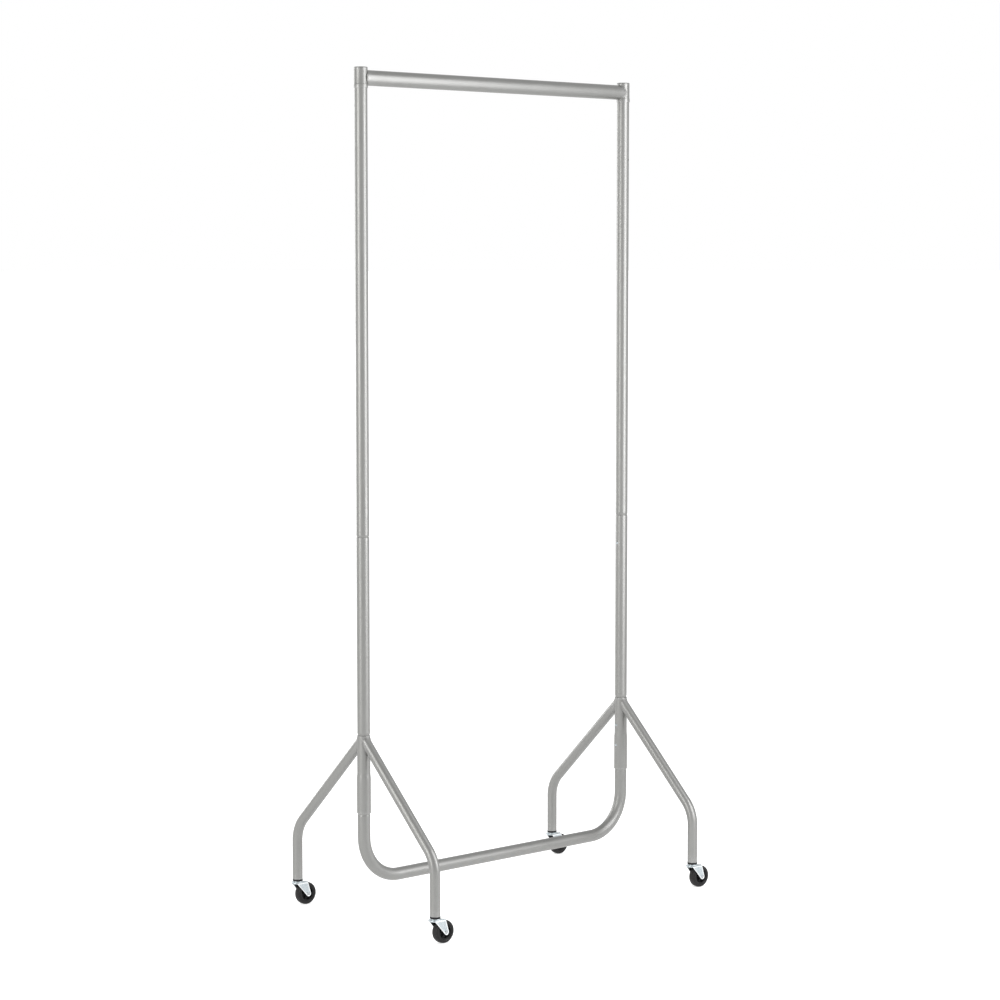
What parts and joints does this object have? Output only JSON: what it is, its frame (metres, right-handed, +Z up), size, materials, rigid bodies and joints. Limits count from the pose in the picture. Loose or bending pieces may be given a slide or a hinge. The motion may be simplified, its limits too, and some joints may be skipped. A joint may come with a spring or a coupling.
{
  "type": "rolling clothes rack",
  "caption": "Tall grey tubular garment rail on swivel casters: plain posts carry a round hanging rail, with bent feet at each end and a U-shaped base bar between them.",
  "frame": {"origin": "on the floor, under the middle of the bounding box", "axes": "+Z up from the floor, X along the hanging rail, Y from the front feet to the rear feet; the caster wheels trail toward +X"},
  "size_m": [0.9717, 0.5762, 2.134],
  "materials": {
    "grey_coat": "satin silver-grey powder coat",
    "zinc_plate": "bright zinc plate",
    "spring_steel": "oiled spring steel",
    "dark_steel": "dark plated steel",
    "bearing_steel": "polished steel",
    "black_plastic": "matte",
    "black_rubber": "matte"
  },
  "bodies": {
    "rack": {"hanging_rail": "grey_coat", "rail_collar_left": "grey_coat", "rail_cap_left": "grey_coat", "upper_post_left": "grey_coat", "lower_post_left": "grey_coat", "foot_sleeve_left": "grey_coat", "leg_front_left": "grey_coat", "leg_rear_left": "grey_coat", "rail_collar_right": "grey_coat", "rail_cap_right": "grey_coat", "upper_post_right": "grey_coat", "lower_post_right": "grey_coat", "foot_sleeve_right": "grey_coat", "leg_front_right": "grey_coat", "leg_rear_right": "grey_coat", "base_bar": "grey_coat", "spring_post_left": "spring_steel", "spring_foot_left": "spring_steel", "spring_bar_left": "spring_steel", "spring_post_right": "spring_steel", "spring_foot_right": "spring_steel", "spring_bar_right": "spring_steel", "leg_plug_front_left": "black_plastic", "caster_stem_front_left": "dark_steel", "caster_race_front_left": "zinc_plate", "caster_balls_front_left": "bearing_steel", "leg_plug_rear_left": "black_plastic", "caster_stem_rear_left": "dark_steel", "caster_race_rear_left": "zinc_plate", "caster_balls_rear_left": "bearing_steel", "leg_plug_front_right": "black_plastic", "caster_stem_front_right": "dark_steel", "caster_race_front_right": "zinc_plate", "caster_balls_front_right": "bearing_steel", "leg_plug_rear_right": "black_plastic", "caster_stem_rear_right": "dark_steel", "caster_race_rear_right": "zinc_plate", "caster_balls_rear_right": "bearing_steel"},
    "button_body_post_left": {"button_post_left": "zinc_plate"},
    "button_body_foot_left": {"button_foot_left": "zinc_plate"},
    "button_body_bar_left": {"button_bar_left": "zinc_plate"},
    "button_body_post_right": {"button_post_right": "zinc_plate"},
    "button_body_foot_right": {"button_foot_right": "zinc_plate"},
    "button_body_bar_right": {"button_bar_right": "zinc_plate"},
    "caster_front_left": {"caster_fork_front_left": "zinc_plate", "caster_axle_front_left": "bearing_steel"},
    "wheel_front_left": {"wheel_hub_front_left": "black_plastic", "wheel_tyre_front_left": "black_rubber"},
    "caster_rear_left": {"caster_fork_rear_left": "zinc_plate", "caster_axle_rear_left": "bearing_steel"},
    "wheel_rear_left": {"wheel_hub_rear_left": "black_plastic", "wheel_tyre_rear_left": "black_rubber"},
    "caster_front_right": {"caster_fork_front_right": "zinc_plate", "caster_axle_front_right": "bearing_steel"},
    "wheel_front_right": {"wheel_hub_front_right": "black_plastic", "wheel_tyre_front_right": "black_rubber"},
    "caster_rear_right": {"caster_fork_rear_right": "zinc_plate", "caster_axle_rear_right": "bearing_steel"},
    "wheel_rear_right": {"wheel_hub_rear_right": "black_plastic", "wheel_tyre_rear_right": "black_rubber"}
  },
  "joints": [
    {"name": "button_press_post_left", "type": "slide", "parent": "rack", "child": "button_body_post_left", "axis": [-1, 0, 0], "range_m": [0, 0.0038], "stiffness_N_per_m": 2500, "springref_m": -0.001, "deforming": ["spring_post_left"]},
    {"name": "button_press_foot_left", "type": "slide", "parent": "rack", "child": "button_body_foot_left", "axis": [-1, 0, 0], "range_m": [0, 0.0038], "stiffness_N_per_m": 2500, "springref_m": -0.001, "deforming": ["spring_foot_left"]},
    {"name": "button_press_bar_left", "type": "slide", "parent": "rack", "child": "button_body_bar_left", "axis": [-1, 0, 0], "range_m": [0, 0.0038], "stiffness_N_per_m": 2500, "springref_m": -0.001, "deforming": ["spring_bar_left"]},
    {"name": "button_press_post_right", "type": "slide", "parent": "rack", "child": "button_body_post_right", "axis": [1, 0, 0], "range_m": [0, 0.0038], "stiffness_N_per_m": 2500, "springref_m": -0.001, "deforming": ["spring_post_right"]},
    {"name": "button_press_foot_right", "type": "slide", "parent": "rack", "child": "button_body_foot_right", "axis": [1, 0, 0], "range_m": [0, 0.0038], "stiffness_N_per_m": 2500, "springref_m": -0.001, "deforming": ["spring_foot_right"]},
    {"name": "button_press_bar_right", "type": "slide", "parent": "rack", "child": "button_body_bar_right", "axis": [1, 0, 0], "range_m": [0, 0.0038], "stiffness_N_per_m": 2500, "springref_m": -0.001, "deforming": ["spring_bar_right"]},
    {"name": "caster_swivel_front_left", "type": "hinge", "parent": "rack", "child": "caster_front_left", "pos_m": [-0.46815, -0.273, 0.06], "axis": [0, 0, 1], "continuous": true},
    {"name": "wheel_spin_front_left", "type": "hinge", "parent": "caster_front_left", "child": "wheel_front_left", "pos_m": [-0.44315, -0.273, 0.029], "axis": [0, 1, 0], "continuous": true},
    {"name": "caster_swivel_rear_left", "type": "hinge", "parent": "rack", "child": "caster_rear_left", "pos_m": [-0.46815, 0.273, 0.06], "axis": [0, 0, 1], "continuous": true},
    {"name": "wheel_spin_rear_left", "type": "hinge", "parent": "caster_rear_left", "child": "wheel_rear_left", "pos_m": [-0.44315, 0.273, 0.029], "axis": [0, 1, 0], "continuous": true},
    {"name": "caster_swivel_front_right", "type": "hinge", "parent": "rack", "child": "caster_front_right", "pos_m": [0.43185, -0.273, 0.06], "axis": [0, 0, 1], "continuous": true},
    {"name": "wheel_spin_front_right", "type": "hinge", "parent": "caster_front_right", "child": "wheel_front_right", "pos_m": [0.45685, -0.273, 0.029], "axis": [0, 1, 0], "continuous": true},
    {"name": "caster_swivel_rear_right", "type": "hinge", "parent": "rack", "child": "caster_rear_right", "pos_m": [0.43185, 0.273, 0.06], "axis": [0, 0, 1], "continuous": true},
    {"name": "wheel_spin_rear_right", "type": "hinge", "parent": "caster_rear_right", "child": "wheel_rear_right", "pos_m": [0.45685, 0.273, 0.029], "axis": [0, 1, 0], "continuous": true}
  ]
}
